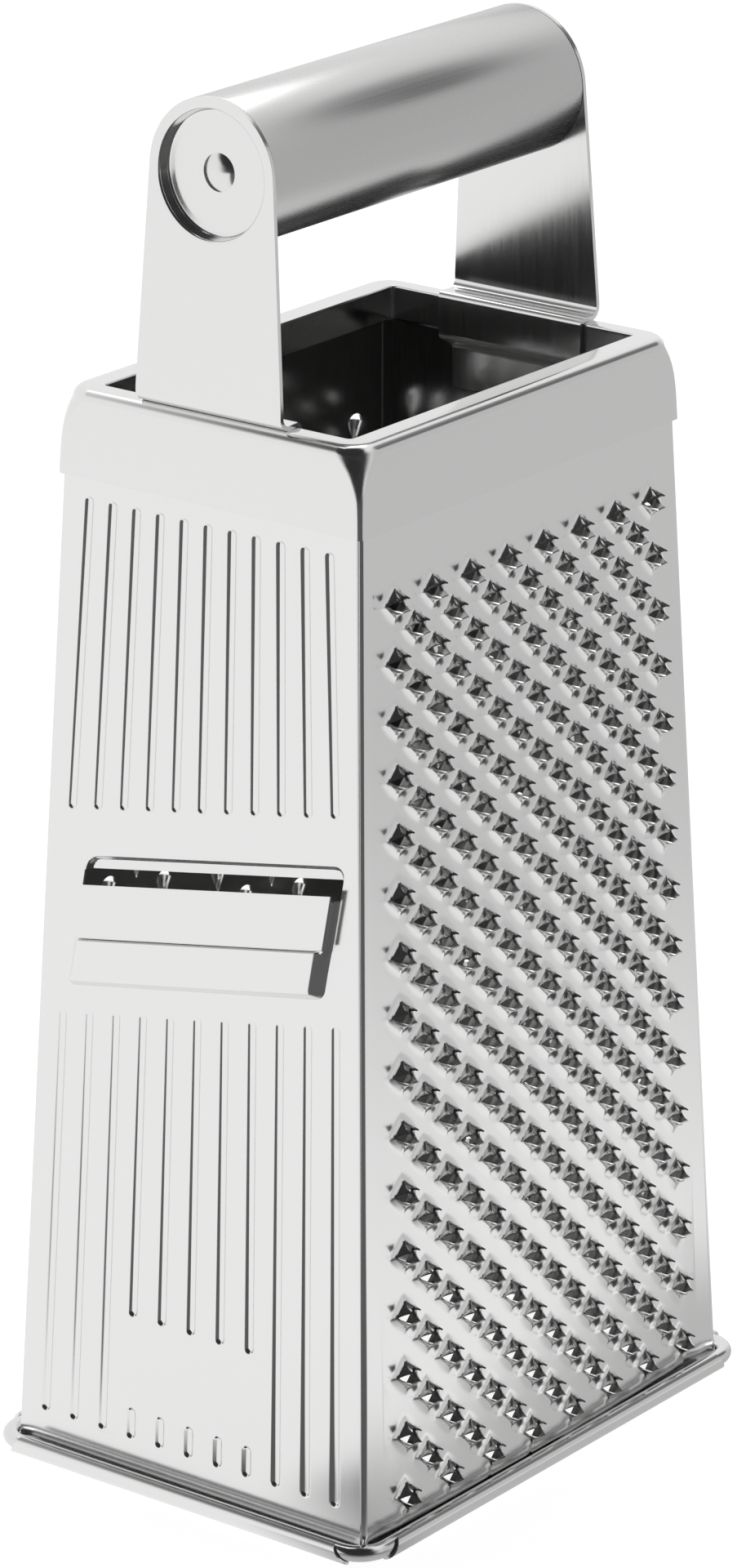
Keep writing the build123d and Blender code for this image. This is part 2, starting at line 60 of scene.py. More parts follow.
# Studio. A white table and white walls all round, darker beside the camera and above it, where the
# room shows in the metal as soft grey and dark bands.
class Shade:
    """A socket of a shader, so that what a finish looks like can be written as sums."""

    def __init__(self, socket):
        self.socket = socket

    def node(self, kind, settings, sockets, output=0):
        node = self.socket.id_data.nodes.new(kind)
        for name, value in settings.items():
            if name == "stops":
                ramp = node.color_ramp
                while len(ramp.elements) < len(value):
                    ramp.elements.new(0.5)
                for element, (position, grey) in zip(ramp.elements, value):
                    element.position = position
                    element.color = (grey, grey, grey, 1)
            else:
                setattr(node, name, value)
        for name, value in sockets.items():
            if isinstance(value, Shade):
                self.socket.id_data.links.new(value.socket, node.inputs[name])
            else:
                node.inputs[name].default_value = value
        return Shade(node.outputs[output])

    def math(self, operation, first, second=0.0):
        return self.node("ShaderNodeMath", {"operation": operation}, {0: first, 1: second})

    def __add__(self, other):
        return self.math("ADD", self, other)

    __radd__ = __add__

    def __mul__(self, other):
        return self.math("MULTIPLY", self, other)

    __rmul__ = __mul__

    def __sub__(self, other):
        return self.math("SUBTRACT", self, other)

    def __rsub__(self, other):
        return self.math("SUBTRACT", other, self)

    def towards(self, direction, low, high):
        """0 to 1 as this unit vector turns towards a direction, between two cosines."""
        settings = {"operation": "DOT_PRODUCT"}
        unit = tuple(Vector(direction).normalized())
        near = self.node("ShaderNodeVectorMath", settings, {0: self, 1: unit}, "Value")
        return self.node(
            "ShaderNodeMapRange",
            {"interpolation_type": "SMOOTHSTEP"},
            {"Value": near, "From Min": low, "From Max": high},
        )

    def feeds(self, node, name):
        self.socket.id_data.links.new(self.socket, node.inputs[name])


world = bpy.data.worlds.new("studio")
bpy.context.scene.world = world
world.use_nodes = True
world_nodes = world.node_tree.nodes
facing = Shade(world_nodes.new("ShaderNodeTexCoord").outputs["Generated"])
seen = Shade(world_nodes.new("ShaderNodeLightPath").outputs["Is Camera Ray"])
by_the_camera = facing.towards(camera_back, 0.42, 0.82)
above_the_camera = facing.towards((-0.50, -0.05, 0.86), 0.66, 0.82)
far_right = facing.towards((0.75, -0.60, 0.10), 0.55, 0.95)
above_right = facing.towards((0.747, -0.34, 0.57), 0.955, 0.985)
room = 0.92 - 0.88 * by_the_camera - 0.88 * above_the_camera - 0.35 * far_right - 0.45 * above_right
room = room.math("MAXIMUM", room, 0.03)
room = seen + room * (1 - seen)
room.feeds(world_nodes["Background"], "Strength")
world_nodes["Background"].inputs["Color"].default_value = (1, 1, 1, 1)

floor_mesh = bpy.data.meshes.new("floor")
floor_mesh.from_pydata(
    [(-3, -3, -0.00005), (3, -3, -0.00005), (3, 3, -0.00005), (-3, 3, -0.00005)], [], [(0, 1, 2, 3)]
)
floor = bpy.data.objects.new("floor", floor_mesh)
bpy.context.scene.collection.objects.link(floor)
floor_finish = bpy.data.materials.new("white_table")
floor_finish.use_nodes = True
floor_nodes = floor_finish.node_tree.nodes
table = Shade(floor_nodes.new("ShaderNodeLightPath").outputs["Is Camera Ray"])
spot = table.node("ShaderNodeNewGeometry", {}, {}, "Position")
across = spot.node("ShaderNodeSeparateXYZ", {}, {0: spot}, "X")
deep = spot.node("ShaderNodeSeparateXYZ", {}, {0: spot}, "Y")


def fade(value, near, far, first, last):
    """Brightness that changes between two places of the table."""
    span = {"Value": value, "From Min": near, "From Max": far, "To Min": first, "To Max": last}
    return value.node("ShaderNodeMapRange", {"interpolation_type": "SMOOTHSTEP"}, span)


# The table is dimmer far to the right and dark in a wedge in front of the grater's near corner. Under
# the grater, and a little along its right side, it is darker still: painted shadow in the glow that the
# metal reflects. Distances are from the middle of the foot, in m.
dim = fade(across * 0.78 - deep * 0.62, 0.03, 0.5, 1.0, 0.60)
nearer = across * -0.79 - deep * 0.61
left = deep * 0.79 - across * 0.61
front = fade(nearer, 0.053, 0.085, 0.0, 1.0) * fade(left - nearer * 0.45, 0.0, 0.02, 1.0, 0.0)
front = front * fade(left * -1.0 - nearer * 1.4, -0.03, 0.03, 1.0, 0.0)
dim = dim * (1 - 0.93 * front)
# Painted shadow: under the grater's foot the table glows at only a quarter of its strength.
across_out = fade(across.math("ABSOLUTE", across), 0.050, 0.056, 0.0, 1.0)
deep_out = fade(deep.math("ABSOLUTE", deep), 0.036, 0.042, 0.0, 1.0)
outside = across_out.math("MAXIMUM", across_out, deep_out)
dim = dim * (0.25 + 0.75 * outside)
# Painted shadow in a strip beside the rasping wall, along the grater's right side.
beside = fade(deep * -1.0, 0.052, 0.085, 1.0, 0.0) * fade(deep * -1.0, 0.0, 0.04, 0.0, 1.0)
dim = dim * (1 - 0.45 * beside * fade(across, -0.055, -0.045, 0.0, 1.0))
diffuse = table.node("ShaderNodeBsdfDiffuse", {}, {"Color": (0.9, 0.9, 0.9, 1)})
strength = table * 1.31 + dim * (1 - table)
glow = table.node("ShaderNodeEmission", {}, {"Color": (1, 1, 1, 1), "Strength": strength})
mixed = table.node("ShaderNodeMixShader", {}, {0: 0.9 - table * 0.2, 1: diffuse, 2: glow})
mixed.feeds(floor_nodes["Material Output"], "Surface")
floor_mesh.materials.append(floor_finish)

lamp_data = bpy.data.lights.new("ceiling_softbox", "AREA")
lamp_data.shape = "RECTANGLE"
lamp_data.size = 1.2
lamp_data.size_y = 0.9
lamp_data.energy = 5
lamp = bpy.data.objects.new("ceiling_softbox", lamp_data)
lamp.location = (0.35, 0.5, 1.6)
lamp.rotation_euler = Vector((0.35, 0.5, 1.5)).to_track_quat("Z", "Y").to_euler()
bpy.context.scene.collection.objects.link(lamp)


# Rasping wall. One sheet of stainless steel, 0.5 mm thick, punched with rows of crowns: each is a
# square hole on its corner whose four flaps stand up as points. Its sides are bent round behind the
# narrow walls and welded there, and its lower edge is rolled round the foot wire.
SHEET = 0.5
WALL_FOOT, WALL_TOP = 0.7, 188.0
HALF_LENGTH, HALF_WIDTH = 53.25, 38.95    # at the table
LEAN_NARROW = atan2(8.6, WALL_TOP)
LEAN_WIDE = atan2(7.25, WALL_TOP)


def half_length(height):
    """Half of the body's length along X at a height."""
    return HALF_LENGTH - 8.6 * height / WALL_TOP


def half_width(height):
    """Half of the body's width along Y at a height."""
    return HALF_WIDTH - 7.25 * height / WALL_TOP


def narrow_wall(side):
    """Turns (across, up, out) on the wall at -X or +X into X, Y, Z."""
    c, s = cos(LEAN_NARROW), sin(LEAN_NARROW)

    def place(across, up, out=0.0):
        return Vector((side * (HALF_LENGTH - up * s + out * c), side * across, up * c + out * s))

    return place


def wide_wall(side):
    """The same for the wall at -Y or +Y."""
    c, s = cos(LEAN_WIDE), sin(LEAN_WIDE)

    def place(across, up, out=0.0):
        return Vector((-side * across, side * (HALF_WIDTH - up * s + out * c), up * c + out * s))

    return place


class Pressing:
    """The outer face of one piece of sheet, drawn in mm, that is thickened when it is done.

    place turns (across, up, out) into X, Y, Z. bow gives how far out a point of the done face is moved.
    """

    def __init__(self, place, bow=None):
        self.place = place
        self.bow = bow
        self.mesh = bmesh.new()
        self.known = {}
        self.thin = {}    # share of the sheet's thickness that is left, where it is drawn thin

    def at(self, point):
        """The vertex at a point, made only if there is none within about a thousandth of a mm."""
        near = [{round(value * 1000 - 0.25), round(value * 1000 + 0.25)} for value in point]
        for key in product(*near):
            if key in self.known:
                return self.known[key]
        self.known[key] = self.mesh.verts.new(point)
        return self.known[key]

    def face(self, corners):
        corners = [corner for i, corner in enumerate(corners) if corner is not corners[i - 1]]
        if len(set(corners)) > 2 and not self.mesh.faces.get(corners):
            self.mesh.faces.new(corners)

    def strip(self, first, second, closed=False):
        """Quads between two rows of points that were already placed."""
        count = len(first)
        for i in range(count if closed else count - 1):
            j = (i + 1) % count
            self.face([first[i], first[j], second[j], second[i]])

    def rings(self, rows, closed=True, thin=None):
        """Joins rows of (across, up, out) points, and returns them as placed."""
        placed = []
        for number, row in enumerate(rows):
            placed.append([self.at(self.place(*point)) for point in row])
            if thin and thin[number] < 1:
                for vertex in placed[-1]:
                    self.thin[vertex] = thin[number]
        for first, second in zip(placed, placed[1:]):
            self.strip(first, second, closed)
        return placed

    def fill(self, outlines):
        """Plane sheet inside outlines, each a closed list of placed points, round what is pressed."""
        origin, out = self.place(0, 0, 0), self.place(0, 0, 1) - self.place(0, 0, 0)
        edges = set()
        for edge in self.mesh.edges:
            if edge.is_boundary and all(abs((v.co - origin).dot(out)) < 0.002 for v in edge.verts):
                edges.add(edge)
        for outline in outlines:
            for i, vertex in enumerate(outline):
                pair = (outline[i - 1], vertex)
                edges.add(self.mesh.edges.get(pair) or self.mesh.edges.new(pair))
        loose = True
        while loose:
            met = Counter(vertex for edge in edges for vertex in edge.verts)
            loose = {edge for edge in edges if any(met[vertex] == 1 for vertex in edge.verts)}
            edges -= loose
        self.mesh.edges.index_update()
        in_order = sorted(edges, key=lambda edge: edge.index)    # so that each run fills it alike
        bmesh.ops.triangle_fill(self.mesh, edges=in_order, use_beauty=False)

    def finish(self, name, outward, inward, finish, back=None, sharp=32):
        """Thickens the face both ways, closes its edges, and makes the object."""
        mesh = self.mesh
        if self.bow:
            out = self.place(0, 0, 1) - self.place(0, 0, 0)
            for vertex in mesh.verts:
                vertex.co += out * self.bow(vertex.co)
        bmesh.ops.recalc_face_normals(mesh, faces=mesh.faces)
        probe = max(mesh.faces, key=lambda face: face.calc_area())
        if probe.normal.dot(self.place(0, 0, 1) - self.place(0, 0, 0)) < 0:
            bmesh.ops.reverse_faces(mesh, faces=mesh.faces)
        mesh.normal_update()
        mesh.verts.index_update()
        points = []
        for offset in (outward, -inward):
            for vertex in mesh.verts:
                stretch = min(vertex.calc_shell_factor(), 1.6) * self.thin.get(vertex, 1.0)
                points.append((vertex.co + vertex.normal * offset * stretch) * MM)
        count = len(mesh.verts)
        faces = []
        for face in mesh.faces:
            corners = [vertex.index for vertex in face.verts]
            faces.append(corners)
            faces.append([corner + count for corner in reversed(corners)])
        for edge in mesh.edges:
            if edge.is_boundary:
                loop = edge.link_loops[0]
                a, b = loop.vert.index, loop.link_loop_next.vert.index
                faces.append([b, a, a + count, b + count])
        paired = 2 * len(mesh.faces)
        mesh.free()
        piece = make_piece(name, points, faces, finish, sharp)
        if back:
            # The sheet's inner side is duller and painted darker, as shade inside the grater, apart from
            # the hem, where it comes to the outside.
            piece.data.materials.append(back)
            for number in range(1, paired, 2):
                face = piece.data.polygons[number]
                if face.center.z > 4 * MM:
                    face.material_index = 1
        return piece


def make_piece(name, points, faces, finish, sharp=32):
    """A smooth-shaded object on the grater's body, sharp where faces meet at more than these degrees."""
    data = bpy.data.meshes.new(name)
    data.from_pydata([tuple(point) for point in points], [], faces)
    data.shade_smooth()
    data.set_sharp_from_angle(angle=radians(sharp))
    data.materials.append(finish)
    piece = bpy.data.objects.new(name, data)
    bpy.context.scene.collection.objects.link(piece)
    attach(piece, "root")
    return piece


def steel(name, colour, roughness, along, wave=0.0, grain=0.06, paint_inside_shade=False):
    """Stainless steel brushed along one axis, with faint smears and a slightly uneven surface.

    wave and grain are the heights of its unevenness and of its brushing. The last argument paints
    shade inside the grater: it darkens the colour of what lies behind the outer faces of the walls.
    """
    finish = bpy.data.materials.new(name)
    finish.use_nodes = True
    nodes = finish.node_tree.nodes
    body = nodes["Principled BSDF"]
    spot = Shade(nodes.new("ShaderNodeTexCoord").outputs["Object"])
    stretch = [2600, 2600, 2600]
    stretch[along] = 26
    lines = spot.node("ShaderNodeMapping", {}, {"Vector": spot, "Scale": stretch})
    brushed = spot.node("ShaderNodeTexNoise", {}, {"Vector": lines, "Scale": 1.0, "Detail": 3.0})
    smear = spot.node("ShaderNodeTexNoise", {}, {"Vector": spot, "Scale": 28.0, "Detail": 4.0})
    rough = brushed * 0.09 + smear * 0.05 + (roughness - 0.07)
    rough.feeds(body, "Roughness")
    tone = smear * 0.03 + brushed * 0.05 + 0.96
    dark = tuple(0.6 * value for value in colour) + (1,)
    bright = tuple(colour) + (1,)
    shade = tone.node(
        "ShaderNodeMix", {"data_type": "RGBA"}, {"Factor": tone, "A": dark, "B": bright}, "Result"
    )
    if paint_inside_shade:
        # Painted shade: behind the walls' outer faces the colour turns dark grey, for the shade inside
        # the grater.
        x, y, z = (spot.node("ShaderNodeSeparateXYZ", {}, {0: spot}, axis) for axis in "XYZ")
        behind_ends = 0.05295 - 0.045745 * z - x.math("ABSOLUTE", x)
        behind_sides = 0.03865 - 0.038564 * z - y.math("ABSOLUTE", y)
        inside = fade(behind_ends, 0.0, 0.0001, 0.0, 1.0) * fade(behind_sides, 0.0, 0.0001, 0.0, 1.0)
        inside_shade_mix = {"Factor": inside, "A": shade, "B": (0.42, 0.42, 0.415, 1)}
        shade = shade.node("ShaderNodeMix", {"data_type": "RGBA"}, inside_shade_mix, "Result")
    shade.feeds(body, "Base Color")
    body.inputs["Metallic"].default_value = 1
    uneven = spot.node("ShaderNodeTexNoise", {}, {"Vector": spot, "Scale": 30.0, "Detail": 1.0})
    height = brushed * (0.001 * grain) + uneven * wave
    bump = height.node("ShaderNodeBump", {}, {"Height": height, "Strength": 1.0, "Distance": 0.001})
    bump.feeds(body, "Normal")
    return finish


wall_steel = steel("wall_steel", (0.84, 0.84, 0.835), 0.17, 2, wave=0.08)
# The sheets' inner sides: a rougher finish, and a dark grey colour that is painted shade inside the
# grater.
painted_shade_back_steel = steel("painted_shade_back_steel", (0.42, 0.42, 0.415), 0.24, 2, wave=0.25)


WIRE_RADIUS = 1.45
WIRE_OFFSET, WIRE_HEIGHT = 2.3, 2.0    # wire's centre line, from the wall's face and from the table


def hem(panel, lean, half_run):
    """Turns a wall's lower edge out and rolls it round the foot wire, with mitred ends."""
    path = [(-1.9 * tan(lean), 1.9, 0.0)]    # each point: outward, up, and how far the end runs on
    for i in range(7):
        angle = pi + pi * i / 12
        path.append((1 - 1.5 * tan(lean) + cos(angle), 1.5 + sin(angle), 0.0))
    path.append((1.7, 0.5, 0.9))
    wrap = WIRE_RADIUS + 0.05
    for i in range(16):
        angle = radians(-90 + 10 * i)
        out, up = WIRE_OFFSET + wrap * cos(angle), WIRE_HEIGHT + wrap * sin(angle)
        path.append((out, up, -1.3 * sin(angle)))
    rows = []
    for reach, height, mitre in path:
        up = height * cos(lean) - reach * sin(lean)
        out = reach * cos(lean) + height * sin(lean)
        rows.append([(across, up, out) for across in (-half_run - mitre, half_run + mitre)])
    return panel.rings(rows, closed=False)


WIDE_HEM_HALF = 49.05
BEND_RADIUS, CORNER_FLANGE = 0.9, 2.6


def wide_outline(panel, side):
    """Edge of a wide wall's plane face, with the bends and flanges beyond it and the hem below."""
    left_hem, right_hem = hem(panel, LEAN_WIDE, WIDE_HEM_HALF)[0]
    columns = {}
    for hand in (-1, 1):
        for height in (WALL_FOOT, WALL_TOP):
            edge = half_length(height) - SHEET - 0.05 - BEND_RADIUS
            depth = half_width(height)
            points = [(edge - 0.2, depth), (edge, depth)]
            for i in range(1, 7):
                angle = radians(15 * i)
                round_in = BEND_RADIUS * (1 - cos(angle))
                points.append((edge + BEND_RADIUS * sin(angle), depth - round_in))
            points.append((edge + BEND_RADIUS, depth - CORNER_FLANGE))
            row = [panel.at(Vector((-side * hand * x, side * y, height))) for x, y in points]
            columns[hand, height] = row
        panel.strip(columns[hand, WALL_FOOT], columns[hand, WALL_TOP])
    foot_up = WALL_FOOT / cos(LEAN_WIDE)
    foot = [panel.at(panel.place(across, foot_up)) for across in (-WIDE_HEM_HALF, WIDE_HEM_HALF)]
    return [
        columns[-1, WALL_FOOT][0], foot[0], left_hem, right_hem, foot[1], columns[1, WALL_FOOT][0],
        columns[1, WALL_TOP][0], columns[-1, WALL_TOP][0],
    ]


CROWN_TOP_ROW, CROWN_PITCH, CROWN_PITCH_GROWTH = 167.5, 10.03, 0.086
CROWN_COLUMNS, CROWN_ROWS = 8, 16


def crown_spot(column, row):
    """Middle of a crown: columns spread and rows draw apart towards the foot."""
    height = CROWN_TOP_ROW - CROWN_PITCH * row - CROWN_PITCH_GROWTH / 2 * row * (row - 1)
    share = 0.803 - 0.026 * row / (CROWN_ROWS - 1)
    middle = (CROWN_COLUMNS - 1) / 2
    return ((column - middle) / middle * share * half_length(height), height / cos(LEAN_WIDE))


BOW, BOW_MIDDLE, BOW_HALF_HEIGHT = 2.45, 79, 89


def bow(point):
    """How far the punching has bowed the wall out: not at its edges, most a little below the middle."""
    share = min(abs(point.x) / half_length(point.z), 1.0)
    rise = min(abs(point.z - BOW_MIDDLE) / BOW_HALF_HEIGHT, 1.0)
    return BOW * (1 - share ** 2) ** 1.7 * (1 - rise ** 2) ** 0.8


rasp = Pressing(wide_wall(-1), bow)
compass = [(1, 0), (0, 1), (-1, 0), (0, -1)]
crowns = [(column, row) for row in range(CROWN_ROWS) for column in range(CROWN_COLUMNS)]
for row in range(CROWN_ROWS - 1):
    crowns += [(column + 0.5, row + 0.5) for column in range(CROWN_COLUMNS - 1)]
# Rings of the swell round a hole: how far off its corners and its sides' middles lie, and how high.
swell = [
    (4.2, 3.5, 0.0), (4.0, 3.28, 0.01), (3.75, 3.0, 0.045), (3.48, 2.72, 0.11), (3.2, 2.43, 0.2),
    (2.92, 2.14, 0.31), (2.64, 1.87, 0.43),
]
HOLE_REACH = 2.62               # from a hole's middle to its corners
FLAP_FOOT, FLAP_HEIGHT = 0.46, 2.3
flap_levels = (0.1, 0.35, 0.6, 0.82, 1.0)
QUARTER_STEPS = 8
for column, row in crowns:
    x, y = crown_spot(column, row)
    corners = [crown_spot(column + a / 2, row - b / 2) for a, b in compass]
    rows = [[] for _ in range(1 + len(swell) + len(flap_levels))]
    for quarter in range(4):
        a, b = compass[quarter], compass[(quarter + 1) % 4]
        for step in range(QUARTER_STEPS):
            s = step / QUARTER_STEPS
            middleness = 1 - abs(1 - 2 * s)    # 0 at a corner of the hole, 1 in the middle of its side
            cell = [(1 - s) * p + s * q for p, q in zip(corners[quarter], corners[(quarter + 1) % 4])]
            square = ((1 - s) * a[0] + s * b[0], (1 - s) * a[1] + s * b[1])
            circle = (square[0] / hypot(*square), square[1] / hypot(*square))
            rows[0].append((cell[0], cell[1], 0.0))
            for number, (corner_reach, side_reach, out) in enumerate(swell):
                squarish = (corner_reach - side_reach) / (1 - sqrt(0.5))
                roundish = corner_reach - squarish
                rows[1 + number].append((
                    x + roundish * circle[0] + squarish * square[0],
                    y + roundish * circle[1] + squarish * square[1],
                    out,
                ))
            for number, level in enumerate(flap_levels):
                lean = 1 + (0.1 * sin(pi * level) - 0.16 * level) * middleness
                rows[1 + len(swell) + number].append((
                    x + HOLE_REACH * square[0] * lean,
                    y + HOLE_REACH * square[1] * lean,
                    FLAP_FOOT + level * (0.12 + FLAP_HEIGHT * middleness ** 1.3),
                ))
    rasp.rings(rows, thin=[1] * (1 + len(swell)) + [0.9, 0.8, 0.7, 0.6, 0.5])
rasp.fill([wide_outline(rasp, -1)])
rasp_piece = rasp.finish("rasp_sheet", 0.0, SHEET, wall_steel, painted_shade_back_steel, sharp=50)
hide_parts("rasp_panel")


# Slicing wall. The same sheet with eleven ribs pressed into it above and below a slanted slot. The
# slot's upper edge is set in, and below it the sheet stands out as a bridge that carries the blade.
NARROW_HEM_HALF = 36.35
EDGE_SETBACK = 0.6


def narrow_outline(panel):
    """Edge of a narrow wall's plane face, with the hem below."""
    left_hem, right_hem = hem(panel, LEAN_NARROW, NARROW_HEM_HALF)[0]
    spots = []
    for height, hand in ((WALL_FOOT, -1), (WALL_FOOT, 1), (WALL_TOP, 1), (WALL_TOP, -1)):
        across = hand * (half_width(height) - EDGE_SETBACK)
        spots.append(panel.at(panel.place(across, height / cos(LEAN_NARROW))))
    foot_up = WALL_FOOT / cos(LEAN_NARROW)
    foot = [panel.at(panel.place(across, foot_up)) for across in (-NARROW_HEM_HALF, NARROW_HEM_HALF)]
    return [spots[0], foot[0], left_hem, right_hem, foot[1], spots[1], spots[2], spots[3]]


RIB_END_RADIUS = 0.95


def rib(panel, low, high, low_depth=1.0, high_depth=1.0):
    """One pressed rib: rows of points run round its middle line, from the plane down to its floor."""
    along = Vector(high) - Vector(low)
    along.normalize()
    beside = Vector((-along.y, along.x))
    low, high = Vector(low) + RIB_END_RADIUS * along, Vector(high) - RIB_END_RADIUS * along
    rows = []
    profile = [
        (1.35, 0.0), (1.16, 0.0), (1.02, -0.04), (0.88, -0.14), (0.74, -0.28), (0.61, -0.41),
        (0.49, -0.49), (0.34, -0.53), (0.15, -0.54),
    ]
    for radius, out in profile:
        row = []
        for end, sign, depth in ((high, 1, high_depth), (low, -1, low_depth)):
            for i in range(9):
                angle = pi * i / 8
                point = end + radius * sign * (beside * -cos(angle) + along * sin(angle))
                row.append((point.x, point.y, out * depth))
        rows.append(row)
    panel.face(panel.rings(rows)[-1])


# The ribs fan out downwards. Next to the slot they end along its slant and are pressed less deeply, and
# the middle five leave a bare place above five short ones.
SLOT_RISE = 0.183    # rise of the slot along its length
slicer = Pressing(narrow_wall(-1))
for number in range(11):
    share = number / 5 - 1
    cut_short = 3 <= number <= 7
    upper_low = (share * 28.5, 126.4 + SLOT_RISE * share * 28.5)
    rib(slicer, upper_low, (share * 25.8, 177.4), low_depth=0.6)
    lower_top = (share * 29.9, 89.9 + SLOT_RISE * share * 29.9)
    rib(slicer, (share * 32.5, 31.3 if cut_short else 8.3), lower_top, high_depth=0.5)
    if cut_short:
        rib(slicer, (share * 32.5, 8.3), (share * 32.4, 14.1))

# The window is the slanted field that holds the slot: the recess above it and the bridge below it.
WINDOW_ACROSS, WINDOW_HEIGHT = 1.1, 106.4
WINDOW_LEAN = 0.155
HALF_RUN, HALF_RISE = 28.1, 12.35


def window_point(x, y, out=0.0):
    """A point of the window, from its middle: along it, up it and out of the wall."""
    return (WINDOW_ACROSS + x + WINDOW_LEAN * y, WINDOW_HEIGHT + y + SLOT_RISE * x, out)


def rounded_inset(x, y, radius, upright):
    """How far inside the window's outline a point lies, with its two upper or lower corners round."""
    side = HALF_RUN - abs(x)
    end = HALF_RISE - y if upright else HALF_RISE + y
    if side < radius and end < radius:
        return radius - hypot(radius - side, radius - end)
    return min(side, end)


def smooth(value):
    """0 to 1 with soft ends as a value goes from 0 to 1."""
    value = min(max(value, 0.0), 1.0)
    return value * value * (3 - 2 * value)


BRIDGE_HEIGHT, RECESS_DEPTH = 1.8, 1.2
RAISED_BELOW = -2.75    # the bridge stands a little prouder below the blade than under it


def bridge_out(x, y):
    """How far the bridge stands out, with its right end steeper near the blade."""
    slope = 1.8 - 1.0 * smooth((y + 4.2) / 1.5) * smooth(x)
    raised = 0.65 * smooth((RAISED_BELOW - y) / 0.35) * smooth((HALF_RISE + y) / 3)
    raised *= smooth((x + 26.5) / 1.2) * smooth((26.9 - x) / 1.2)
    return BRIDGE_HEIGHT * smooth(rounded_inset(x, y, 1.8, False) / slope) + raised


def recess_out(x, y):
    """How far the recess above the slot is set in."""
    inset = max(rounded_inset(x, y, 2.5, True), 0.0)
    return -RECESS_DEPTH * smooth(inset / 1.05)


# The grid of both parts is finer along the edges. It has no sheet between the bridge's upper edge and
# the recess's lower edge, apart from the window's two ends, and that gap is the slot.
ends = [-0.5, -0.25, 0.0, 0.15, 0.3, 0.45, 0.6, 0.8, 1.0, 1.2, 1.4, 1.6, 1.8, 2.1, 2.5, 3.0, 3.8, 5.0]
spans = [end - HALF_RUN for end in ends] + [-16.0, -8.0, 0.0, 8.0, 16.0]
spans += [HALF_RUN - end for end in reversed(ends)]
BRIDGE_TOP = 5.95
RECESS_LOW = HALF_RISE - 2.7
bridge_rises = [end - HALF_RISE for end in ends]
bridge_rises += [-5.0, -3.3, -3.1, -2.98, -2.86, RAISED_BELOW, 0.0, BRIDGE_TOP - 0.3, BRIDGE_TOP]
recess_rises = [RECESS_LOW, RECESS_LOW + 0.6, RECESS_LOW + 1.2]
recess_rises += [HALF_RISE - 0.16 * i for i in range(7, -1, -1)] + [HALF_RISE + 0.25, HALF_RISE + 0.5]
bridge = slicer.rings(
    [[window_point(x, y, bridge_out(x, y)) for x in spans] for y in bridge_rises], closed=False
)
recess = slicer.rings(
    [[window_point(x, y, recess_out(x, y)) for x in spans] for y in recess_rises], closed=False
)
last = len(spans) - 1
for columns in ((0, 1, 2), (last, last - 1, last - 2)):
    slicer.strip([bridge[-1][i] for i in columns], [recess[0][i] for i in columns])
slicer.fill([narrow_outline(slicer)])
slicer_piece = slicer.finish("slicer_sheet", 0.0, SHEET, wall_steel, painted_shade_back_steel)
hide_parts("slicer_panel")


# Slicing blade. A flat ground strip of harder steel, spot-welded on the bridge, with its edge bevelled
# from behind and standing a little above the bridge.
blade_steel = steel("blade_steel", (0.84, 0.84, 0.835), 0.18, 1, wave=0.05)
blade_place = narrow_wall(-1)
blade_left, blade_right = 1.6 - HALF_RUN, HALF_RUN - 0.5
blade_low, blade_edge = -2.55, 7.55
blade_outline = [
    (blade_left, blade_low), (blade_right, blade_low),
    (blade_right, blade_edge), (blade_left, blade_edge),
]
# From back to front: how far the outline is drawn in, how far out it lies, and its edge's setback.
layers = [(0.08, 0.0, 2.2), (0.0, 0.08, 2.1), (0.0, 0.5, 0.12), (0.1, 0.6, 0.1)]
blade_points, blade_faces = [], []
for shrink, out, setback in layers:
    for x, y in blade_outline:
        y += -setback if y == blade_edge else shrink
        x += shrink if x < 0 else -shrink
        blade_points.append(blade_place(*window_point(x, y, BRIDGE_HEIGHT + out)) * MM)
for layer in range(len(layers) - 1):
    for i in range(4):
        a, b = 4 * layer + i, 4 * layer + (i + 1) % 4
        blade_faces.append([a, b, b + 4, a + 4])
blade_faces.append([3, 2, 1, 0])
blade_faces.append([4 * (len(layers) - 1) + i for i in range(4)])
blade = make_piece("blade_strip", blade_points, blade_faces, blade_steel, sharp=20)
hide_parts("slicer_blade")


# Coarse and fine shredding walls. The same sheet punched into hooded teeth, large ones on the wide wall
# at the back and small ones on the narrow wall at the right, rolled round the foot wire like the others.
# Their faces behind the walls' outer faces get a dark grey colour: painted shade inside the grater.
shred_steel = steel("shred_steel", (0.84, 0.84, 0.835), 0.17, 2, wave=0.10, paint_inside_shade=True)
for name in ("coarse_panel", "fine_panel"):
    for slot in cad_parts[name].material_slots:
        slot.material = shred_steel


# Foot wire. One round wire bent into a ring, its ends welded, held in the walls' hems and bare at the
# four corners.
def rounded_ring(half_x, half_y, radius, steps):
    """Points round a rectangle with round corners, anticlockwise, as many on each corner."""
    points = []
    for quarter in range(4):
        sign_x = 1 if quarter in (0, 3) else -1
        sign_y = 1 if quarter < 2 else -1
        for i in range(steps + 1):
            angle = pi / 2 * (quarter + i / steps)
            points.append((
                sign_x * (half_x - radius) + radius * cos(angle),
                sign_y * (half_y - radius) + radius * sin(angle),
            ))
    return points


def round_wire(name, path, radius, sides, finish):
    """Round wire along a closed level path."""
    points, faces = [], []
    count = len(path)
    for i, (x, y, z) in enumerate(path):
        before, after = path[i - 1], path[(i + 1) % count]
        run = Vector((after[0] - before[0], after[1] - before[1], 0)).normalized()
        beside = Vector((run.y, -run.x, 0))
        for j in range(sides):
            angle = 2 * pi * j / sides
            point = Vector((x, y, z)) + radius * (cos(angle) * beside + sin(angle) * Vector((0, 0, 1)))
            points.append(point * MM)
            k, m = (i + 1) % count, (j + 1) % sides
            faces.append([i * sides + j, k * sides + j, k * sides + m, i * sides + m])
    return make_piece(name, points, faces, finish)


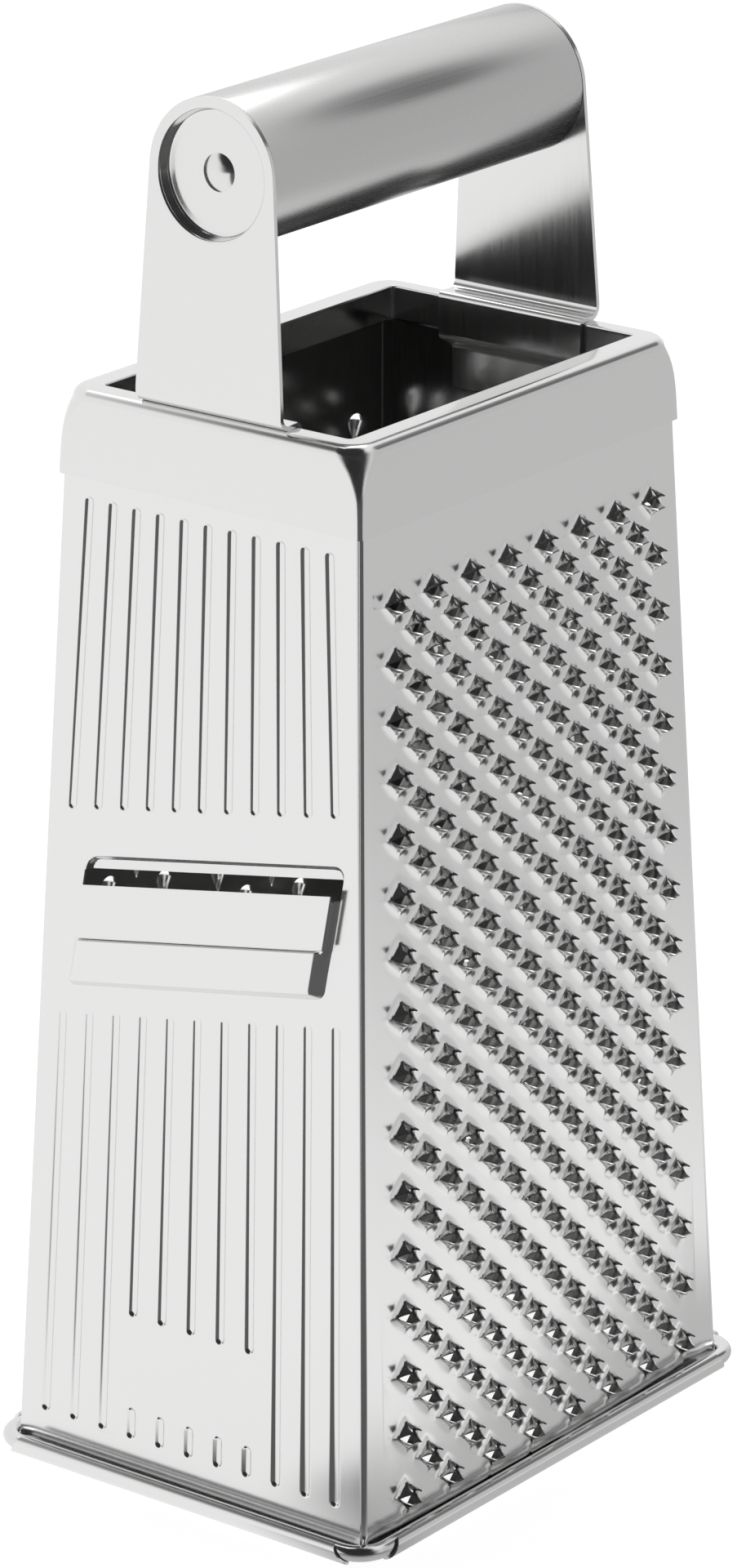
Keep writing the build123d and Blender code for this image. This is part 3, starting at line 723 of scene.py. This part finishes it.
wire_steel = steel("wire_steel", (0.78, 0.78, 0.78), 0.14, 2, wave=0.02, grain=0.02)
WIRE_CORNER_RADIUS = 5.3
wire_ring = rounded_ring(HALF_LENGTH + WIRE_OFFSET, HALF_WIDTH + WIRE_OFFSET, WIRE_CORNER_RADIUS, 10)
wire_path = [(x, y, WIRE_HEIGHT) for x, y in wire_ring]
wire = round_wire("foot_ring", wire_path, WIRE_RADIUS, 20, wire_steel)
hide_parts("foot_wire")


# Collar. A cap drawn from the same sheet and pushed down over the four walls. Its corners open out
# towards the rim, and the sheet turns down again inside the rim as a lip.
collar_steel = steel("collar_steel", (0.82, 0.82, 0.815), 0.16, 2, wave=0.06, grain=0.03)
COLLAR_LOW, RIM = 180.4, 195.7
COLLAR_OUTSET = SHEET + 0.15          # collar's outer face, outside the walls'
RIM_ROUND = 2.0
CORNER_LOW, CORNER_HIGH = 1.2, 5.4    # corner radius at the skirt's lower edge and at the rim
OPENING_HALF_LENGTH, OPENING_HALF_WIDTH = 40.25, 26.45
collar = Pressing(lambda x, y, z: Vector((x, y, z)))


def collar_row(height, outset, radius):
    """Points round the collar at a height, this far outside the walls' outer faces."""
    ring = rounded_ring(half_length(height) + outset, half_width(height) + outset, radius, 10)
    return [(x, y, height) for x, y in ring]


skirt_rise = RIM - RIM_ROUND - COLLAR_LOW
lower_edge = (COLLAR_LOW, COLLAR_LOW + 0.3)
collar_rows = [collar_row(height, COLLAR_OUTSET, CORNER_LOW) for height in lower_edge]
for step in range(1, 13):
    share = step / 12
    radius = CORNER_LOW + (CORNER_HIGH - CORNER_LOW) * share ** 4
    collar_rows.append(collar_row(COLLAR_LOW + skirt_rise * share, COLLAR_OUTSET, radius))
for step in range(1, 9):
    angle = radians(11.25 * step)
    inward = RIM_ROUND * (1 - cos(angle))
    height = RIM - RIM_ROUND + RIM_ROUND * sin(angle)
    collar_rows.append(collar_row(height, COLLAR_OUTSET - inward, CORNER_HIGH - inward))
# The rim and the lip: how far outside the opening, how far below the rim, and the corner radius.
for reach, drop, radius in (
    (0.95, 0.0, 1.8), (0.35, 0.0, 1.2), (0.3, 0.0, 1.15), (0.1, 0.08, 0.95), (0.02, 0.2, 0.87),
    (0.0, 0.4, 0.85), (0.0, 0.8, 0.85), (0.0, 5.8, 0.85), (0.0, 6.0, 0.85),
):
    opening = rounded_ring(OPENING_HALF_LENGTH + reach, OPENING_HALF_WIDTH + reach, radius, 10)
    collar_rows.append([(x, y, RIM - drop) for x, y in opening])
collar.rings(collar_rows)
collar_piece = collar.finish("collar_cap", 0.0, SHEET, collar_steel)
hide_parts("collar")


# Handle brackets. Two strips of 0.8 mm sheet with round tops and a dish for the rod's head. Each foot is
# bent over the rim, down inside the collar's lip, and out again to a tab welded behind the wall.
bracket_steel = steel("bracket_steel", (0.82, 0.82, 0.815), 0.16, 2, wave=0.03, grain=0.03)
PLATE = 0.8
PLATE_LEAN = radians(2)
PLATE_REACH = 45.1         # plate's outer face at the rim's height, from the middle
PLATE_HALF_FOOT = 15.5
LEG_START = 3.0            # the plate is plane from here up, above the rim
HANDLE_HEIGHT = 236.95
HANDLE_UP = (HANDLE_HEIGHT - RIM) / cos(PLATE_LEAN)
TUBE_RADIUS = 13.05
DISH_DEPTH = 2.2


def bracket_plane(side):
    """Outer face of a bracket's plate, measured from the rim's height."""
    c, s = cos(PLATE_LEAN), sin(PLATE_LEAN)

    def place(across, up, out=0.0):
        return Vector((side * (PLATE_REACH - up * s + out * c), side * across, RIM + up * c + out * s))

    return place


def bent_line(corners, radii, steps=8):
    """Points along a line with round bends, each with the unit vector to its right."""
    line = []
    count = len(corners)
    for i, corner in enumerate(corners):
        corner = Vector(corner)
        if i in (0, count - 1):
            run = (Vector(corners[1]) - corner) if i == 0 else (corner - Vector(corners[i - 1]))
            run.normalize()
            line.append((corner, Vector((run.y, -run.x))))
            continue
        first = (corner - Vector(corners[i - 1])).normalized()
        second = (Vector(corners[i + 1]) - corner).normalized()
        turn = first.x * second.y - first.y * second.x
        hand = 1 if turn > 0 else -1
        angle = asin(min(abs(turn), 1.0))
        radius = radii[i - 1]
        start = corner - first * radius * tan(angle / 2)
        centre = start + hand * radius * Vector((-first.y, first.x))
        begin = atan2(start.y - centre.y, start.x - centre.x)
        for step in range(steps + 1):
            now = begin + hand * angle * step / steps
            beside = Vector((cos(now), sin(now)))
            line.append((centre + radius * beside, hand * beside))
    return line


# Rows of the dish, from the plane face of the plate in to the rod's hole: radius and how far out.
dish_profile = [
    (12.1, 0.0), (11.45, 0.0), (11.27, -0.04), (11.12, -0.16), (11.02, -0.4), (10.78, -1.8),
    (10.68, -2.02), (10.5, -2.15), (10.25, -DISH_DEPTH), (9.6, -DISH_DEPTH), (3.0, -DISH_DEPTH),
    (2.05, -DISH_DEPTH),
]
leg = bracket_plane(1)(0, LEG_START, -PLATE / 2)
over_rim, inside_lip = RIM + 0.5, OPENING_HALF_LENGTH - SHEET
behind_wall = [(half_length(height) - 0.95, height) for height in (186.1, 178.1)]
foot_corners = [
    (leg.x, leg.z), (PLATE_REACH - PLATE / 2 - 0.5 * tan(PLATE_LEAN), over_rim),
    (inside_lip, over_rim), (inside_lip, 188.4), *behind_wall,
]
foot_line = bent_line(foot_corners, (1.9, 0.8, 1.4, 1.4))
for side, name, node in (
    (-1, "bracket_left", "handle_bracket_left"), (1, "bracket_right", "handle_bracket_right"),
):
    plate = Pressing(bracket_plane(side))
    rows = []
    for point, right in foot_line:
        face = point - PLATE / 2 * right
        ends_across = (-PLATE_HALF_FOOT, PLATE_HALF_FOOT)
        rows.append([plate.at(Vector((side * face.x, side * across, face.y))) for across in ends_across])
    for first, second in zip(rows, rows[1:]):
        plate.strip(first, second)
    dish = []
    for radius, out in dish_profile:
        turns = [2 * pi * i / 64 for i in range(64)]
        dish.append([(radius * cos(a), HANDLE_UP + radius * sin(a), out) for a in turns])
    plate.rings(dish)
    reach = Vector((PLATE_HALF_FOOT, LEG_START - HANDLE_UP))
    start = atan2(reach.y, reach.x) + pi / 2 - asin(TUBE_RADIUS / reach.length)
    arc = [start + (pi - 2 * start) * i / 48 for i in range(49)]
    top = [plate.at(plate.place(TUBE_RADIUS * cos(a), HANDLE_UP + TUBE_RADIUS * sin(a))) for a in arc]
    foot = [plate.at(plate.place(across, LEG_START)) for across in (-PLATE_HALF_FOOT, PLATE_HALF_FOOT)]
    plate.fill([top + foot])
    bracket = plate.finish(name, 0.0, PLATE, bracket_steel)
    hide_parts(node)


# Handle tube. A seamed tube of 0.8 mm steel, turned smooth and brushed round, clamped between the
# brackets, so that its ends are cut to their lean.
tube_steel = steel("tube_steel", (0.65, 0.65, 0.645), 0.27, 0, wave=0.0, grain=0.05)


def turned(name, profile, count, finish, closed):
    """Surface turned about the handle's axis, from (radius, side, depth) of its rings.

    Each ring lies in a plane that leans with the bracket on its side, this deep behind its outer face.
    """
    points, faces = [], []
    for radius, side, depth in profile:
        place = bracket_plane(side)
        for i in range(count):
            angle = 2 * pi * i / count
            up = radius * sin(angle)
            point = place(side * radius * cos(angle), HANDLE_UP, -depth)
            point.z = HANDLE_HEIGHT + up
            point.x -= side * (up + depth * sin(PLATE_LEAN)) * tan(PLATE_LEAN)
            points.append(point * MM)
    rings = len(profile)
    for ring in range(rings if closed else rings - 1):
        after = (ring + 1) % rings
        for i in range(count):
            j = (i + 1) % count
            faces.append([ring * count + i, ring * count + j, after * count + j, after * count + i])
    if not closed:
        faces.append(list(reversed(range(count))))
        faces.append([(rings - 1) * count + i for i in range(count)])
    return make_piece(name, points, faces, finish)


TUBE_START = PLATE + 0.05
tube_bore = TUBE_RADIUS - 0.8
tube_end = [
    (tube_bore, TUBE_START), (TUBE_RADIUS - 0.2, TUBE_START), (TUBE_RADIUS - 0.06, TUBE_START + 0.06),
    (TUBE_RADIUS, TUBE_START + 0.2),
]
tube_profile = [(radius, -1, depth) for radius, depth in tube_end]
tube_profile += [(radius, 1, depth) for radius, depth in reversed(tube_end)]
tube = turned("handle_grip", tube_profile, 128, tube_steel, closed=True)
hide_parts("handle_tube")


# Tie rod. A round steel bar through the tube, necked at both ends to shoulder against the brackets, and
# peened over into a low dome in each dish.
rod_steel = steel("rod_steel", (0.80, 0.80, 0.795), 0.16, 0, wave=0.02, grain=0.02)
HEAD_RADIUS, HEAD_HEIGHT = 3.3, 1.0
NECK_RADIUS, ROD_RADIUS = 1.95, 3.0
SHOULDER = 2.85    # behind the bracket's outer face
ball = (HEAD_RADIUS ** 2 + HEAD_HEIGHT ** 2) / (2 * HEAD_HEIGHT)
half_turn = asin(HEAD_RADIUS / ball)
rod_end = []
for i in range(9):
    angle = half_turn * (0.04 + 0.96 * i / 8)
    rod_end.append((ball * sin(angle), DISH_DEPTH - HEAD_HEIGHT + ball * (1 - cos(angle))))
rod_end += [(NECK_RADIUS, DISH_DEPTH), (NECK_RADIUS, SHOULDER)]
rod_end += [(ROD_RADIUS, SHOULDER), (ROD_RADIUS, 3.2)]
rod_profile = [(radius, -1, depth) for radius, depth in rod_end]
rod_profile += [(radius, 1, depth) for radius, depth in reversed(rod_end)]
rod = turned("peened_rod", rod_profile, 40, rod_steel, closed=False)
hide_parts("tie_rod")
